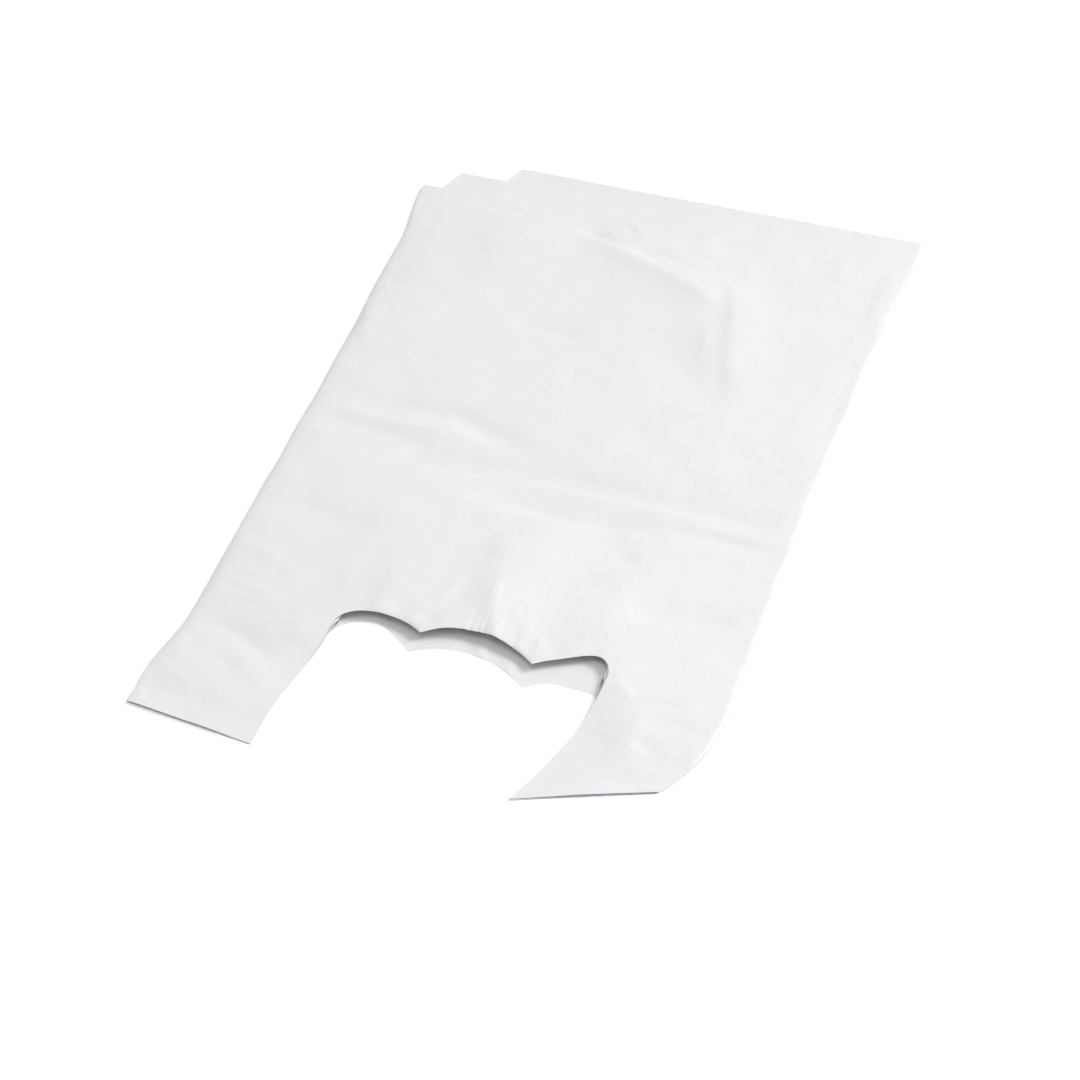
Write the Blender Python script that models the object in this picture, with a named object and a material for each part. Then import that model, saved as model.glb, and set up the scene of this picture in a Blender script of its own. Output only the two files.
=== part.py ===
"""Vest-type carrier bag of thin white polythene film, lying flat as it comes to rest.

Metres, +Z up. The handles point along -Y and the bottom weld closes the +Y end. The bag is one
piece of film: a tube with a pleat folded in along each side, welded across the bottom and across
both handle ends, with one scalloped cut that makes the mouth and the two handles.

The film is laid up as a stack of seven levels, four plies with air between them. From the floor:
back ply, air, lower web of the pleat, air, upper web of the pleat, air, front ply. Each piece of
the blank says which of those levels are film, and a face is made wherever film meets air.
"""

import math

import bmesh
import bpy
from mathutils import Matrix, Vector, noise

MM = 0.001

# Blank: the folded tube before the mouth is cut
WIDTH = 280 * MM
LENGTH = 480 * MM
PLEAT_DEPTH = 70 * MM
FILM = 0.4 * MM

# Welds: a narrow fused line with a loose skirt of film beyond it
WELD_WIDTH = 3 * MM
BOTTOM_SKIRT = 6 * MM
HANDLE_SKIRT = 11 * MM
FUSED_GAP = 0.03 * MM

# Mouth: three scallops between the handles, with two cusps that point to the handle ends
MOUTH_WIDTH = 144 * MM
MOUTH_DEPTH = 89 * MM
CUSP_SPACING = 61 * MM
CUSP_HEIGHT = 11 * MM
CORNER_RADIUS = 12 * MM

# Air between the plies: at the side folds, inside the body, in the handles and at the mouth
FOLD_GAP = 0.7 * MM
POCKET_GAP = 1.0 * MM
BODY_GAP = 3.0 * MM
HANDLE_GAP = 3.6 * MM
LIP_GAP = 12.0 * MM
LIP_REACH = 95 * MM
WELD_EASE = 32 * MM
PLEAT_EASE = 28 * MM
LEAST_GAP = 0.45 * MM

# How far the free mouth edges have slipped sideways and along the bag, and how far they have turned
FRONT_SLIP = Vector((9.5, -1.8)) * MM
BACK_SLIP = Vector((4.5, -5.2)) * MM
MOUTH_TURN = 3 * MM
SLIP_REACH = 90 * MM
SLIP_SPREAD = 130 * MM

# How the handle ends lie: sideways swing, then the advance of the outer and of the inner corner
LEFT_SWING = -7 * MM
LEFT_OUTER_ADVANCE = 1 * MM
LEFT_INNER_ADVANCE = 11 * MM
RIGHT_SWING = -18 * MM
RIGHT_OUTER_ADVANCE = -16 * MM
RIGHT_INNER_ADVANCE = 10 * MM

# How far the fold of each side has drawn in at mid length, and its small ripple
LEFT_WAIST = 1.2 * MM
RIGHT_WAIST = 3.5 * MM
RIPPLE = 0.5 * MM

# The bottom left corner has crept up in two steps, measured in from the left fold
CREEP_STEPS = ((48 * MM, 14 * MM), (17 * MM, 17 * MM))
CREEP_WIDTH = 7 * MM
CREEP_REACH = 90 * MM
CREEP_SPREAD = 3 * MM

# Mesh pitch across and along the film
PITCH_ACROSS = 11 * MM
PITCH_ALONG = 17 * MM
PITCH_FOLDED = 9 * MM
FOLDED_BAND = (-56 * MM, 26 * MM)
HANDLE_PITCH = 12 * MM

# Edges of the blank, worked out from the sizes above
OUTER = WIDTH / 2
PLEAT = OUTER - PLEAT_DEPTH
MOUTH = MOUTH_WIDTH / 2
BOTTOM = LENGTH / 2
HANDLE_END = -LENGTH / 2
SCALLOP_TOP = HANDLE_END + MOUTH_DEPTH
HANDLE_ROOT = SCALLOP_TOP - CORNER_RADIUS
CUSP = CUSP_SPACING / 2

# The eight surfaces of the stack, from the floor up, and the seven levels between them
FLOOR_FACE, TOP_FACE = 0, 7
ALL_LEVELS = frozenset(range(7))
BACK_PLY, BACK_AIR, LOWER_WEB, POCKET, UPPER_WEB, FRONT_AIR, FRONT_PLY = range(7)
PANEL_FILM = frozenset({BACK_PLY, FRONT_PLY})
SIDE_FILM = frozenset({BACK_PLY, LOWER_WEB, UPPER_WEB, FRONT_PLY})
PLEAT_FILM = SIDE_FILM | {POCKET}
FOLD_FILM = ALL_LEVELS - {POCKET}

# Creases of the front ply: ends, half width and height. The long pair crosses the whole bag
CREASES = (
    ((-142, 1), (-88, 4), 10, 2.0),
    ((-96, 4), (-20, -2), 9, 2.2),
    ((-70, -30), (-4, -14), 7, 1.6),
    ((-12, -13), (70, -11), 7, 2.4),
    ((62, -11), (142, -20), 7, 2.0),
    ((-40, -52), (34, -48), 8, 1.5),
    ((26, -48), (84, -42), 7, 2.1),
    ((78, -43), (142, -38), 7, 2.2),
    ((2, -74), (5, -160), 6, 2.4),
    ((-92, 196), (-34, 176), 9, 1.5),
    ((-44, 182), (46, 136), 9, 2.2),
    ((-34, 211), (30, 172), 6, 1.4),
    ((49, 180), (62, 124), 9, 1.7),
    ((60, 130), (82, 64), 10, 1.4),
    ((-54, 95), (-10, 93), 6, 1.0),
    ((104, 236), (122, 120), 12, 1.2),
    ((-140, 100), (-96, 122), 12, 1.2),
    ((-132, -196), (-82, -176), 8, 1.6),
    ((-150, -210), (-104, -204), 7, 1.4),
    ((-112, -150), (-70, -196), 8, 1.2),
    ((78, -176), (136, -168), 7, 1.2),
    ((72, -196), (140, -186), 7, 1.8),
    ((-120, 222), (-84, 196), 6, 1.6),
    ((-98, 228), (-50, 214), 6, 1.3),
)


def ease(value):
    """Smooth step from 0 to 1."""
    t = min(1.0, max(0.0, value))
    return t * t * (3 - 2 * t)


def spaced(marks, pitch_at):
    """Stations from the first mark to the last, with each mark kept and no step over its pitch."""
    stations = [marks[0]]
    for start, end in zip(marks, marks[1:]):
        steps = max(1, math.ceil((end - start) / pitch_at((start + end) / 2) - 1e-6))
        stations += [start + (end - start) * n / steps for n in range(1, steps + 1)]
    return stations


def arc_sag(offset, half_chord, sagitta):
    """Height under the top of a circular arc, at this offset from its middle."""
    radius = (half_chord**2 + sagitta**2) / (2 * sagitta)
    return radius - math.sqrt(radius**2 - offset**2)


def mouth_line(u):
    """Where the die cuts the film: two side scallops, a middle one and a rounded corner each side."""
    across = abs(u)
    scallop_end = MOUTH - CORNER_RADIUS
    if across <= CUSP:
        return SCALLOP_TOP - arc_sag(across, CUSP, CUSP_HEIGHT)
    if across <= scallop_end:
        return SCALLOP_TOP - arc_sag(scallop_end - across, scallop_end - CUSP, CUSP_HEIGHT)
    if across < MOUTH:
        return SCALLOP_TOP - arc_sag(across - scallop_end, CORNER_RADIUS, CORNER_RADIUS)
    return HANDLE_ROOT


def columns():
    """Stations across the blank, each step with the levels that are film there."""
    half = spaced([0.0, CUSP, MOUTH - CORNER_RADIUS], lambda _: PITCH_ACROSS)
    half += [MOUTH - CORNER_RADIUS / 3]
    half += [PLEAT - FILM, PLEAT]
    half += spaced([MOUTH, OUTER - FILM], lambda _: HANDLE_PITCH)
    half += [OUTER]
    stations = [-u for u in reversed(half[1:])] + half
    kinds = []
    for left, right in zip(stations, stations[1:]):
        middle = abs(left + right) / 2
        if middle > OUTER - FILM:
            kinds.append(FOLD_FILM)
        elif middle > PLEAT:
            kinds.append(SIDE_FILM)
        elif middle > PLEAT - FILM:
            kinds.append(PLEAT_FILM)
        else:
            kinds.append(PANEL_FILM)
    return stations, kinds


def rows():
    """Stations along the blank, the index of the handle root, and which steps are welds."""
    handle_weld = HANDLE_END + HANDLE_SKIRT
    bottom_weld = BOTTOM - BOTTOM_SKIRT - WELD_WIDTH
    handle = spaced(
        [HANDLE_END, handle_weld, handle_weld + WELD_WIDTH, HANDLE_ROOT], lambda _: HANDLE_PITCH
    )

    def body_pitch(v):
        return PITCH_FOLDED if FOLDED_BAND[0] < v < FOLDED_BAND[1] else PITCH_ALONG

    body = spaced(
        [HANDLE_ROOT, *FOLDED_BAND, bottom_weld, bottom_weld + WELD_WIDTH, BOTTOM], body_pitch
    )
    stations = handle + body[1:]
    welds = {
        n
        for n, (start, end) in enumerate(zip(stations, stations[1:]))
        if handle_weld <= (start + end) / 2 <= handle_weld + WELD_WIDTH
        or bottom_weld <= (start + end) / 2 <= bottom_weld + WELD_WIDTH
    }
    return stations, len(handle) - 1, welds


def on_film(u, v):
    """Moves a station of the body so that the rows follow the mouth's cut and straighten out past it."""
    if v < HANDLE_ROOT:
        return v
    share = (v - HANDLE_ROOT) / (BOTTOM - HANDLE_ROOT)
    return v + (mouth_line(u) - HANDLE_ROOT) * (1 - share) ** 4


def weld_distance(v):
    """How far a point of the film is from the nearest weld."""
    handle_weld = HANDLE_END + HANDLE_SKIRT + WELD_WIDTH / 2
    bottom_weld = BOTTOM - BOTTOM_SKIRT - WELD_WIDTH / 2
    return max(0.0, min(abs(v - handle_weld), abs(bottom_weld - v)) - WELD_WIDTH / 2)


def crease_height(x, y):
    """Sum of the creases at a point: each is a ridge that fades at its ends."""
    total = 0.0
    for start, end, half_width, height in CREASES:
        a, b = Vector(start) * MM, Vector(end) * MM
        run = b - a
        share = (Vector((x, y)) - a).dot(run) / run.length_squared
        across = (Vector((x, y)) - a - run * share).length / (half_width * MM)
        past_end = max(0.0, -share, share - 1) * run.length / (half_width * MM)
        total += height * MM * math.exp(-(across**2) - past_end**2)
    return total


def air(x, y, u, v):
    """The air in the stack at a point of the film: back, pocket and front gap, and their sum in the panel."""
    loose = ease(weld_distance(v) / WELD_EASE)
    swell = 0.9 * MM * noise.noise(Vector((x, y, 0)) * 22) + 0.5 * MM * noise.noise(
        Vector((x, y, 3)) * 45
    )
    ridge = crease_height(x, y) + swell
    edge = ease((OUTER - abs(u)) / (22 * MM))
    if v < HANDLE_ROOT:
        loft = HANDLE_GAP
    else:
        loft = BODY_GAP
        near_mouth = 1 - ease((v - mouth_line(u)) / LIP_REACH)
        middle = ease((MOUTH + 14 * MM - abs(u)) / (50 * MM))
        loft += (LIP_GAP - BODY_GAP) * near_mouth * middle
    loft = max(LEAST_GAP, loft + ridge)
    side_total = 2 * FOLD_GAP + POCKET_GAP
    total = side_total + (loft - side_total) * edge if loft > side_total else max(loft, side_total)
    fused = 5 * FUSED_GAP
    return fused + (total - fused) * loose


def heights(x, y, u, v):
    """The eight surface heights of the stack at a point of the film."""
    total = air(x, y, u, v)
    if abs(u) > PLEAT - 1.5 * FILM:
        side_air = total * FOLD_GAP / (2 * FOLD_GAP + POCKET_GAP)
        steps = (FILM, side_air, FILM, total - 2 * side_air, FILM, side_air, FILM)
    else:
        over_pleat = 2 * FILM * ease(1 - (PLEAT - abs(u)) / PLEAT_EASE)
        fifth = (total + over_pleat) / 5
        steps = (FILM, fifth, fifth, fifth, fifth, fifth, FILM)
    surfaces = [0.0]
    for step in steps:
        surfaces.append(surfaces[-1] + step)
    return surfaces


def slip(u, v, level_share):
    """How far the free mouth edge has slipped: level_share is 0 at the back ply and 1 at the front."""
    reach = 1 - ease(abs(v - mouth_line(u)) / SLIP_REACH)
    turn = -MOUTH_TURN * math.sin(math.pi * min(1.0, max(-1.0, u / MOUTH)))
    spread = ease((OUTER - abs(u)) / SLIP_SPREAD)
    return (BACK_SLIP.lerp(FRONT_SLIP, level_share) * spread + Vector((0, turn))) * reach


def handle_lie(u, v):
    """How a handle lies: it swings sideways and its end turns, more towards the end."""
    along = max(0.0, (HANDLE_ROOT - v) / (HANDLE_ROOT - HANDLE_END))
    inward = (OUTER - abs(u)) / (OUTER - MOUTH)
    if u < 0:
        swing = LEFT_SWING * ease(along * 1.25)
        advance = LEFT_OUTER_ADVANCE + (LEFT_INNER_ADVANCE - LEFT_OUTER_ADVANCE) * inward
        return Vector((swing, -advance * along**2))
    advance = RIGHT_OUTER_ADVANCE + (RIGHT_INNER_ADVANCE - RIGHT_OUTER_ADVANCE) * inward
    return Vector((RIGHT_SWING * along**2, -advance * along**1.5))


def side_draw(u, v):
    """How far a side has drawn in, with its fold not quite straight."""
    share = abs(u) / OUTER
    along = (v - HANDLE_ROOT) / (BOTTOM - HANDLE_ROOT)
    waist = LEFT_WAIST if u < 0 else RIGHT_WAIST
    waist *= ease(2 * min(along, 1 - along))
    ripple = RIPPLE * noise.noise(Vector((u * 8, v * 26, 7)))
    return Vector((-math.copysign(waist * share**2, u) + ripple, 0))


def corner_creep(u, v):
    """How far the bottom left corner has crept up the bag."""
    near_bottom = ease((v - BOTTOM + CREEP_REACH) / CREEP_REACH)
    from_fold = u + OUTER
    drop = sum(
        height * ease((reach - from_fold) / CREEP_WIDTH) for reach, height in CREEP_STEPS
    )
    spread = CREEP_SPREAD * ease(-u / OUTER)
    return Vector((-spread, -drop)) * near_bottom


def place(u, v, surface):
    """Where a point of the film lies, from its place on the blank and its surface in the stack."""
    v = on_film(u, v)
    share = surface / TOP_FACE
    flat = Vector((u, v)) + slip(u, v, share) + handle_lie(u, v)
    flat += side_draw(u, v) + corner_creep(u, v)
    return Vector((flat.x, flat.y, heights(flat.x, flat.y, u, v)[surface]))


def film_cells(kinds, welds, row_count, root, stations):
    """Every piece of the lay-up that is film, as (column, row, level)."""
    cells = set()
    for column, kind in enumerate(kinds):
        in_handle = abs(stations[column] + stations[column + 1]) / 2 > MOUTH
        for row in range(0 if in_handle else root, row_count):
            levels = ALL_LEVELS if row in welds else kind
            cells |= {(column, row, level) for level in levels}
    return cells


# Each side of a piece: the step to its neighbour, and its corners, facing out
SIDES = (
    ((-1, 0, 0), ((0, 0, 0), (0, 0, 1), (0, 1, 1), (0, 1, 0))),
    ((1, 0, 0), ((1, 0, 0), (1, 1, 0), (1, 1, 1), (1, 0, 1))),
    ((0, -1, 0), ((0, 0, 0), (1, 0, 0), (1, 0, 1), (0, 0, 1))),
    ((0, 1, 0), ((0, 1, 0), (0, 1, 1), (1, 1, 1), (1, 1, 0))),
    ((0, 0, -1), ((0, 0, 0), (0, 1, 0), (1, 1, 0), (1, 0, 0))),
    ((0, 0, 1), ((0, 0, 1), (1, 0, 1), (1, 1, 1), (0, 1, 1))),
)


def bag_mesh():
    """The closed film, with a face wherever film meets air."""
    across, kinds = columns()
    along, root, welds = rows()
    cells = film_cells(kinds, welds, len(along) - 1, root, across)
    mesh = bmesh.new()
    corners = {}

    def corner(column, row, surface):
        key = (column, row, surface)
        if key not in corners:
            corners[key] = mesh.verts.new(place(across[column], along[row], surface))
        return corners[key]

    def facets(points, folds_back):
        """A quad as two triangles, split the same way on every surface of the stack."""
        first = 1 if folds_back else 0
        ring = points[first:] + points[:first]
        return (ring[0], ring[1], ring[2]), (ring[0], ring[2], ring[3])

    def folds_back(column, row):
        """Whether the crease of a piece runs from its right front corner to its left back one."""
        top = [
            place(across[column + a], along[row + b], TOP_FACE).z
            for a, b in ((0, 0), (1, 0), (1, 1), (0, 1))
        ]
        return abs(top[1] - top[3]) < abs(top[0] - top[2])

    for column, row, level in sorted(cells):
        turned = folds_back(column, row)
        for (dx, dy, dz), offsets in SIDES:
            if (column + dx, row + dy, level + dz) in cells:
                continue
            points = [corner(column + a, row + b, level + c) for a, b, c in offsets]
            if dz:
                for facet in facets(points, turned):
                    mesh.faces.new(facet)
            else:
                mesh.faces.new(points)
    return mesh


def white_film():
    """White pigmented polythene: satin, and close to white."""
    material = bpy.data.materials.new("white_film")
    material.use_nodes = True
    shader = material.node_tree.nodes["Principled BSDF"]
    shader.inputs["Base Color"].default_value = (0.86, 0.865, 0.875, 1.0)
    shader.inputs["Roughness"].default_value = 0.42
    shader.inputs["Metallic"].default_value = 0.0
    return material


def main():
    """Builds the bag, with its origin at the middle of the floor under it."""
    for old in list(bpy.data.objects):
        bpy.data.objects.remove(old, do_unlink=True)
    film = bag_mesh()
    low = [min(v.co[axis] for v in film.verts) for axis in range(3)]
    high = [max(v.co[axis] for v in film.verts) for axis in range(3)]
    to_origin = Vector((-(low[0] + high[0]) / 2, -(low[1] + high[1]) / 2, -low[2]))
    bmesh.ops.transform(film, matrix=Matrix.Translation(to_origin), verts=film.verts)
    data = bpy.data.meshes.new("carrier_bag")
    film.to_mesh(data)
    film.free()
    data.materials.append(white_film())
    data.shade_smooth()
    data.set_sharp_from_angle(angle=math.radians(50))
    bag = bpy.data.objects.new("carrier_bag", data)
    bpy.context.scene.collection.objects.link(bag)


main()
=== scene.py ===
"""A white vest-type carrier bag of thin polythene film, lying flat on a pale studio floor.

The film is one tube, so it is meshed as a tube: station by station round it and row by row along
it. Each point is then laid where the film has come to rest, in four plies at the pleated sides and
two in the middle, pressed together at the welds. The bag's lengths are millimetres, and those of
the camera's and the lights' places are metres.
"""

from __future__ import annotations

import logging
import math
from dataclasses import dataclass, field
from enum import Enum, IntEnum

import bpy
import numpy as np
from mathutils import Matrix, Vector, noise


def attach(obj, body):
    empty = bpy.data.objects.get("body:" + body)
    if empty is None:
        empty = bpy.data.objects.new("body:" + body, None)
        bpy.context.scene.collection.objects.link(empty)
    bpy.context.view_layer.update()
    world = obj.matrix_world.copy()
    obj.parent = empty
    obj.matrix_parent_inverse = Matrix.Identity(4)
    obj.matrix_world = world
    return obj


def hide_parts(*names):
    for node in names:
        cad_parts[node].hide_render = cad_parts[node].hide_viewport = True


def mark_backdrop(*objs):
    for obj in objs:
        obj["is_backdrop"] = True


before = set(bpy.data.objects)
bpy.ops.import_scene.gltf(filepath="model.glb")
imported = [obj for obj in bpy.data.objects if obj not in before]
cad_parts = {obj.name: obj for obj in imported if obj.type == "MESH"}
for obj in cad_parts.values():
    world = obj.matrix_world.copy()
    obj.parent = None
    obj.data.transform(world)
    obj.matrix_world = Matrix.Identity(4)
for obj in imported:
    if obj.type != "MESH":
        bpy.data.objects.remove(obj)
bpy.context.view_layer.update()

MM = 0.001
LOG = logging.getLogger("carrier_bag")


def ease(share: np.ndarray | float) -> np.ndarray:
    """Smooth step from 0 to 1.

    Args:
        share: values of any size, held between 0 and 1.

    Returns:
        The eased values.
    """
    t = np.clip(share, 0.0, 1.0)
    return t * t * (3 - 2 * t)


def grain(x: np.ndarray, y: np.ndarray, size: float, layer: float) -> np.ndarray:
    """Smooth unevenness over the plan, from about -1 to 1.

    Args:
        x: places across, in millimetres.
        y: places along, in millimetres.
        size: size of one lump, in millimetres.
        layer: which of many unlike patterns.

    Returns:
        One value for each place.
    """
    points = zip(np.ravel(x) / size, np.ravel(y) / size)
    values = [noise.noise(Vector((a, b, layer))) for a, b in points]
    return np.array(values).reshape(np.shape(x))


def bell(u: np.ndarray, at: float, width: float) -> np.ndarray:
    """Smooth hump of height 1.

    Args:
        u: places across.
        at: where it is highest.
        width: how far from there it falls to about a third.

    Returns:
        The height at each place.
    """
    return np.exp(-(((u - at) / width) ** 2))


def waves(u: np.ndarray, length: float, sway: float, drift: float) -> np.ndarray:
    """Waves of uneven spacing, as gathered film has.

    Args:
        u: places across.
        length: mean length of a wave, over two pi.
        sway: how much the spacing varies.
        drift: length over which it varies, over two pi.

    Returns:
        Values from -1 to 1.
    """
    return np.sin(u / length + sway * np.sin(u / drift))


def stations(marks: list[float], pitch: float) -> list[float]:
    """Even steps from the first mark to the last, with each mark kept.

    Args:
        marks: places in rising or falling order.
        pitch: longest step.

    Returns:
        The places, marks included.
    """
    places = [marks[0]]
    for start, end in zip(marks, marks[1:]):
        steps = max(1, math.ceil(abs(end - start) / pitch - 1e-6))
        places += [start + (end - start) * n / steps for n in range(1, steps + 1)]
    return places


class Ply(IntEnum):
    """The four plies of the folded tube, from the floor up."""

    BACK = 0
    LOWER_WEB = 1
    UPPER_WEB = 2
    FRONT = 3


class Profile(Enum):
    """Section of a crease."""

    ROUNDED = "rounded"
    SHARP = "sharp"


@dataclass(frozen=True)
class Blank:
    """The folded tube and its cut, as they leave the machine.

    u runs across from -width / 2 to width / 2, and v along from the handle ends to the bottom.
    """

    width: float = 280.0
    length: float = 480.0
    pleat_depth: float = 70.0
    mouth_width: float = 144.0
    mouth_depth: float = 89.0
    cusp_spacing: float = 61.0
    cusp_height: float = 11.0
    corner_radius: float = 12.0
    weld_width: float = 2.2
    bottom_skirt: float = 6.0
    handle_skirt: float = 11.5

    @property
    def outer(self) -> float:
        """Place of the side fold."""
        return self.width / 2

    @property
    def around(self) -> float:
        """Length round the tube, pleats and all."""
        return 2 * (self.width + 2 * self.pleat_depth)

    @property
    def pleat(self) -> float:
        """Place of the fold inside the pleat."""
        return self.outer - self.pleat_depth

    @property
    def mouth(self) -> float:
        """Half the width of the mouth."""
        return self.mouth_width / 2

    @property
    def bottom(self) -> float:
        """Place of the bottom edge."""
        return self.length / 2

    @property
    def handle_end(self) -> float:
        """Place of the handle ends."""
        return -self.length / 2

    @property
    def root(self) -> float:
        """Where the handles meet the body."""
        return self.handle_end + self.mouth_depth - self.corner_radius

    @property
    def handle_weld(self) -> float:
        """Middle of the weld across a handle."""
        return self.handle_end + self.handle_skirt + self.weld_width / 2

    @property
    def bottom_weld(self) -> float:
        """Middle of the weld across the bottom."""
        return self.bottom - self.bottom_skirt - self.weld_width / 2

    def mouth_line(self, u: np.ndarray) -> np.ndarray:
        """Where the die cuts the film: a middle scallop, one on each side and rounded corners.

        Args:
            u: places across the blank.

        Returns:
            The place of the cut along the blank.
        """
        across = np.minimum(np.abs(u), self.mouth)
        cusp, end = self.cusp_spacing / 2, self.mouth - self.corner_radius

        def sag(offset: np.ndarray, half: float, depth: float) -> np.ndarray:
            """Drop of an arc at some offset from its top."""
            radius = (half**2 + depth**2) / (2 * depth)
            return radius - np.sqrt(np.maximum(radius**2 - offset**2, 0.0))

        drop = np.where(
            across <= cusp,
            sag(np.minimum(across, cusp), cusp, self.cusp_height),
            np.where(
                across <= end,
                sag(np.clip(end - across, 0, end - cusp), end - cusp, self.cusp_height),
                sag(np.clip(across - end, 0, self.corner_radius), *[self.corner_radius] * 2),
            ),
        )
        return self.handle_end + self.mouth_depth - drop

    def on_film(self, u: np.ndarray, v: np.ndarray) -> np.ndarray:
        """Bends the rows of the body so that they follow the cut and straighten out past it.

        Args:
            u: places across the blank.
            v: places of the rows.

        Returns:
            The places of the points along the blank.
        """
        share = np.clip((v - self.root) / (self.bottom - self.root), 0.0, 1.0)
        bent = v + (self.mouth_line(u) - self.root) * (1 - share) ** 4
        return np.where(v < self.root, v, bent)

    def from_weld(self, v: np.ndarray) -> np.ndarray:
        """Distance of a point of the film to the nearest weld's edge."""
        nearest = np.minimum(np.abs(v - self.handle_weld), np.abs(v - self.bottom_weld))
        return np.maximum(nearest - self.weld_width / 2, 0.0)


@dataclass(frozen=True)
class Tug:
    """A pull on one ply's cut edge, greatest at one place and gone a width or two beside it."""

    at: float
    width: float
    across: float
    along: float
    front: bool


@dataclass(frozen=True)
class Lie:
    """How the blank has come to lie: what has slipped, swung, drawn in and crept."""

    blank: Blank
    # The mouth's free edges have slipped across and along, and turned a little.
    front_slip: tuple[float, float] = (7.7, 5.8)
    back_slip: tuple[float, float] = (4.5, -5.2)
    mouth_turn: float = 3.0
    slip_reach: float = 90.0
    slip_spread: float = 130.0
    # The handles have swung sideways, the left one before its end, and have turned: an advance is
    # how far the outer and the inner edge of a handle's end have moved along.
    left_swing: float = -7.0
    left_lead: float = 1.25
    left_advance: tuple[float, float] = (1.0, 11.0)
    right_swing: float = -18.0
    right_advance: tuple[float, float] = (-16.0, 10.0)
    # The sides are drawn in a little, in a waist with a ripple in it.
    left_waist: float = 1.2
    right_waist: float = 3.5
    ripple: float = 0.9
    ripple_size: float = 34.0
    # The bottom's left corner has crept up in steps, each with its reach and its height.
    creep_steps: tuple[tuple[float, float], ...] = ((48.0, 14.0), (17.0, 17.0))
    creep_width: float = 6.0
    creep_reach: float = 90.0
    creep_spread: float = 3.0
    # Where the blank's middle lies on the floor.
    middle: tuple[float, float] = (3.5, 5.5)
    tugs: tuple[Tug, ...] = (
        Tug(62.0, 15.0, 0.0, 5.1, True),
        Tug(31.0, 9.0, -0.5, 0.8, True),
        Tug(-52.0, 14.0, 0.0, -1.0, True),
        Tug(62.0, 18.0, 0.0, -9.5, False),
        Tug(31.0, 9.0, 1.5, -2.0, False),
        Tug(-52.0, 12.0, 0.0, 5.0, False),
    )

    def slip(self, u: np.ndarray, v: np.ndarray, share: np.ndarray) -> np.ndarray:
        """How far the free edges of the mouth have slipped.

        Args:
            u: places across the blank.
            v: places along the blank.
            share: 0 for the back ply and 1 for the front ply.

        Returns:
            Steps across and along, stacked.
        """
        blank = self.blank
        reach = 1 - ease(np.abs(v - blank.mouth_line(u)) / self.slip_reach)
        turn = -self.mouth_turn * np.sin(np.pi * np.clip(u / blank.mouth, -1, 1))
        spread = ease((blank.outer - np.abs(u)) / self.slip_spread)
        step = [
            (back + (front - back) * share) * spread
            for front, back in zip(self.front_slip, self.back_slip)
        ]
        for tug in self.tugs:
            weight = bell(u, tug.at, tug.width) * np.where(tug.front, share, 1 - share)
            step = [step[0] + tug.across * weight, step[1] + tug.along * weight]
        return np.stack([step[0], step[1] + turn]) * reach

    def handles(self, u: np.ndarray, v: np.ndarray) -> np.ndarray:
        """How a handle swings sideways and turns, more towards its end.

        Args:
            u: places across the blank.
            v: places along the blank.

        Returns:
            Steps across and along, stacked.
        """
        blank = self.blank
        along = np.maximum(0.0, (blank.root - v) / (blank.root - blank.handle_end))
        inward = (blank.outer - np.abs(u)) / (blank.outer - blank.mouth)
        outer, inner = self.left_advance
        left = (
            self.left_swing * ease(along * self.left_lead),
            -(outer + (inner - outer) * inward) * along**2,
        )
        outer, inner = self.right_advance
        right = (
            self.right_swing * along**2,
            -(outer + (inner - outer) * inward) * along**1.5,
        )
        return np.stack([np.where(u < 0, a, b) for a, b in zip(left, right)])

    def sides(self, u: np.ndarray, v: np.ndarray) -> np.ndarray:
        """How far a side fold has drawn in, with its small ripple.

        Args:
            u: places across the blank.
            v: places along the blank.

        Returns:
            Steps across and along, stacked.
        """
        blank = self.blank
        share = np.abs(u) / blank.outer
        along = (v - blank.root) / (blank.bottom - blank.root)
        waist = np.where(u < 0, self.left_waist, self.right_waist)
        waist = waist * ease(2 * np.minimum(along, 1 - along))
        ripple = self.ripple * grain(u * 0.3, v, self.ripple_size, 7.0) * share**2
        return np.stack([-np.sign(u) * waist * share**2 + ripple, np.zeros_like(u)])

    def corner(self, u: np.ndarray, v: np.ndarray) -> np.ndarray:
        """How far the bottom left corner has crept up the bag, in steps.

        Args:
            u: places across the blank.
            v: places along the blank.

        Returns:
            Steps across and along, stacked.
        """
        blank = self.blank
        near = ease((v - blank.bottom + self.creep_reach) / self.creep_reach)
        drop = sum(
            height * ease((reach - u - blank.outer) / self.creep_width)
            for reach, height in self.creep_steps
        )
        return np.stack([-self.creep_spread * ease(-u / blank.outer), -drop]) * near

    def place(self, u: np.ndarray, v: np.ndarray, share: np.ndarray) -> np.ndarray:
        """Where points of the film lie on the floor plan.

        Args:
            u: places across the blank.
            v: places along the blank.
            share: 0 for the back ply and 1 for the front ply.

        Returns:
            x and y, stacked, with the blank's middle at nought.
        """
        lie = np.stack([u, v]) + self.slip(u, v, share) + self.handles(u, v)
        return lie + self.sides(u, v) + self.corner(u, v)


def rounded(path: tuple[tuple[float, float], ...]) -> np.ndarray:
    """Cuts the corners of a path twice, and keeps its ends.

    Args:
        path: the points of the path.

    Returns:
        The points of the smoother path.
    """
    points = np.array(path, dtype=float)
    for _ in range(2 if len(points) > 2 else 0):
        start, end = points[:-1], points[1:]
        cut = np.stack([0.75 * start + 0.25 * end, 0.25 * start + 0.75 * end], axis=1)
        points = np.concatenate([points[:1], cut.reshape(-1, 2)[1:-1], points[-1:]])
    return points


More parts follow.
